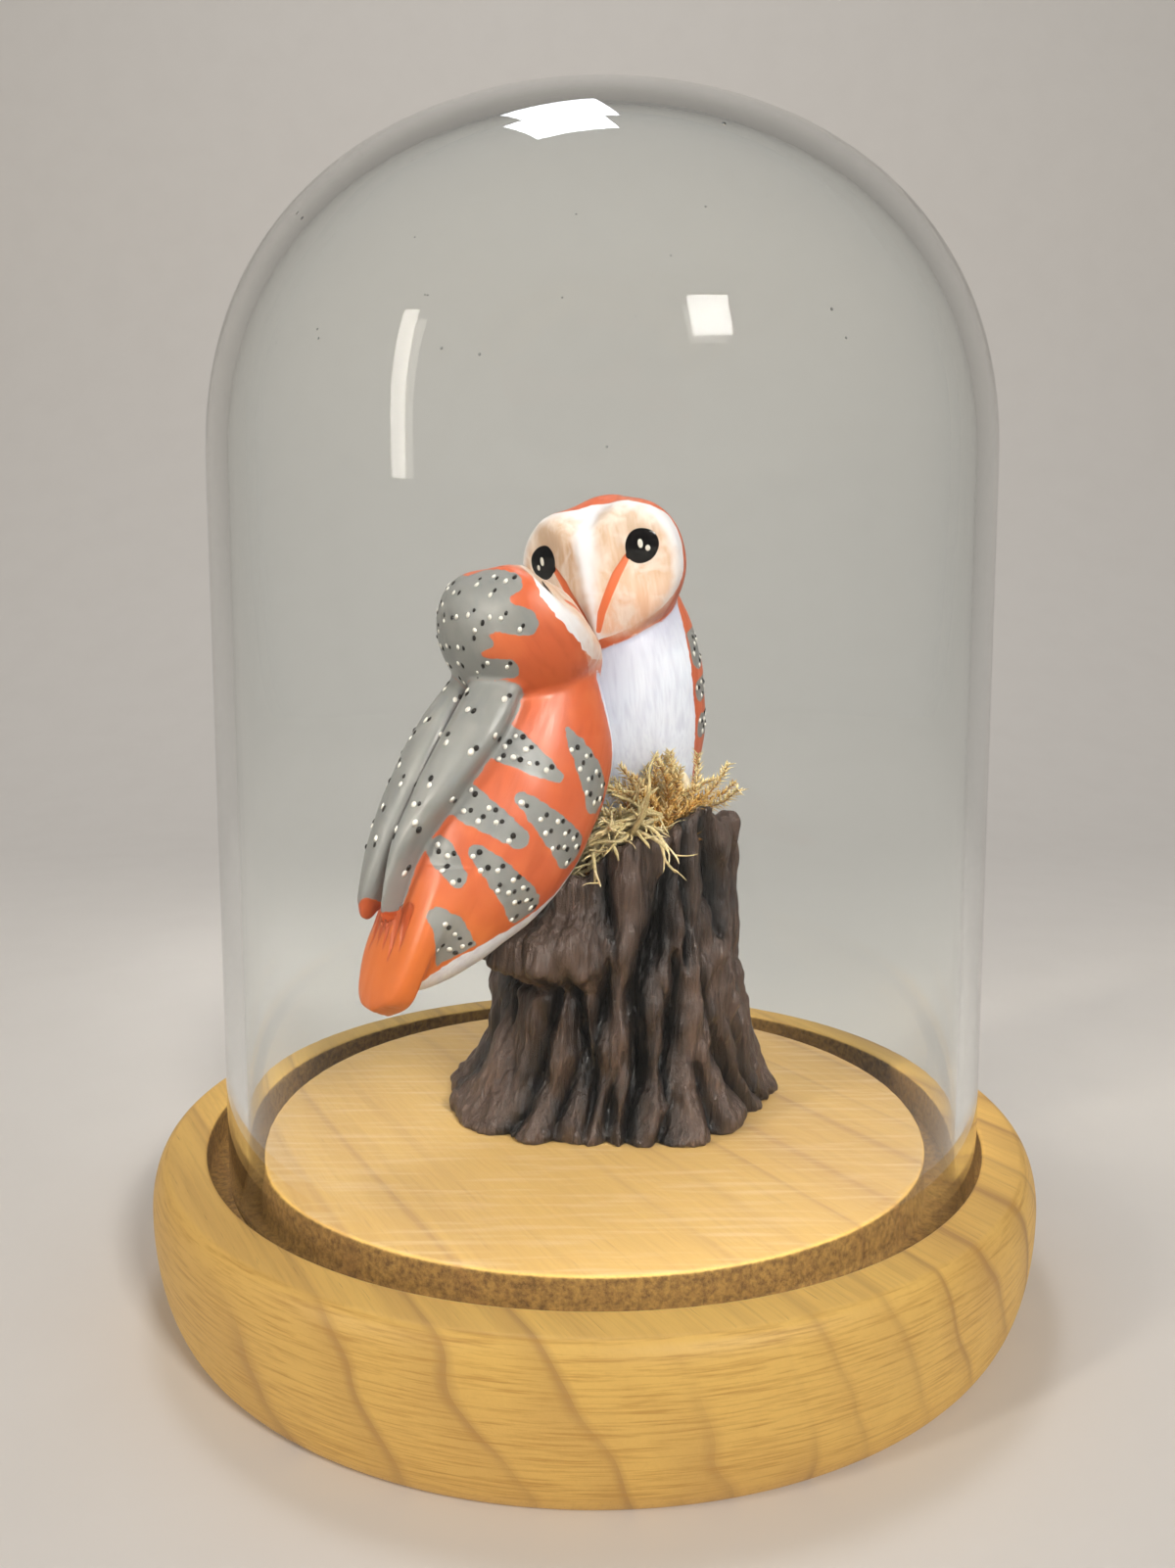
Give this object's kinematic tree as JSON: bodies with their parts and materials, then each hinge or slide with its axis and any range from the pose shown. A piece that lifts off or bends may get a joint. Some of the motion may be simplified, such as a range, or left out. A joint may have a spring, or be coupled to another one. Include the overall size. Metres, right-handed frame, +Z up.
{
  "type": "clay owl figurine under glass dome",
  "caption": "Two small painted clay barn owls, bill to bill on a clay tree stump with dry moss, under a lift-off glass dome on a turned round wooden base.",
  "frame": {"origin": "middle of the underside of the wooden base", "axes": "+Z up; +Y away from the viewer who sees the stump's front, +X to that viewer's right"},
  "size_m": [0.1396, 0.14, 0.1769],
  "materials": {
    "turned_wood": "turned pale hardwood, thin satin oil, end grain rough in the groove",
    "blown_glass": "clear blown glass with a fire-polished rim",
    "stump_clay": "dark brown modelled clay, satin",
    "dry_moss": "dry preserved moss and lichen",
    "painted_clay": "modelled clay with satin acrylic paint in orange, grey and white",
    "eye_enamel": "glossy black paint, slightly domed"
  },
  "bodies": {
    "base": {"wood_base": "turned_wood", "tree_stump": "stump_clay", "moss_bed": "dry_moss", "owl_a_head": "painted_clay", "owl_a_trunk": "painted_clay", "owl_a_wing_left": "painted_clay", "owl_a_wing_right": "painted_clay", "owl_a_tail": "painted_clay", "owl_a_eye_left": "eye_enamel", "owl_a_eye_right": "eye_enamel", "owl_b_head": "painted_clay", "owl_b_trunk": "painted_clay", "owl_b_wing_left": "painted_clay", "owl_b_wing_right": "painted_clay", "owl_b_tail": "painted_clay", "owl_b_eye_left": "eye_enamel", "owl_b_eye_right": "eye_enamel", "owl_b_foot_left": "painted_clay", "owl_b_foot_right": "painted_clay"},
    "dome": {"glass_dome": "blown_glass"}
  },
  "joints": [
    {"name": "dome_lift", "type": "slide", "parent": "base", "child": "dome", "axis": [0, 0, 1], "range_m": [0, 0.15]}
  ]
}
